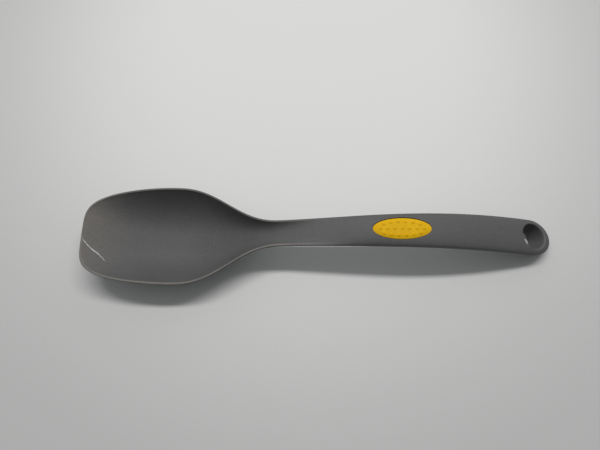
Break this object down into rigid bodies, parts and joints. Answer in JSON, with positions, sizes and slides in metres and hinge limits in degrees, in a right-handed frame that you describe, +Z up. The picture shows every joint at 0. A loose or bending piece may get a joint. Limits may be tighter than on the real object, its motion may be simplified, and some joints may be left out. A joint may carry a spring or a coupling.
{
  "type": "cooking spoon",
  "caption": "Cooking spoon with a blunt-ended bowl, an arched handle with a soft thumb pad let into its top, and a round hanging loop at its end.",
  "frame": {"origin": "on the table that the spoon rests on, under the middle of its length and width", "axes": "+X runs from the tip of the bowl to the hanging loop, +Y across the spoon, +Z up out of the bowl"},
  "size_m": [0.303, 0.0636, 0.0334],
  "materials": {
    "nylon": "fine moulded texture with a low sheen",
    "soft_insert": "smooth and slightly satin"
  },
  "bodies": {
    "root": {"spoon_body": "nylon", "grip_pad": "soft_insert"}
  },
  "joints": []
}
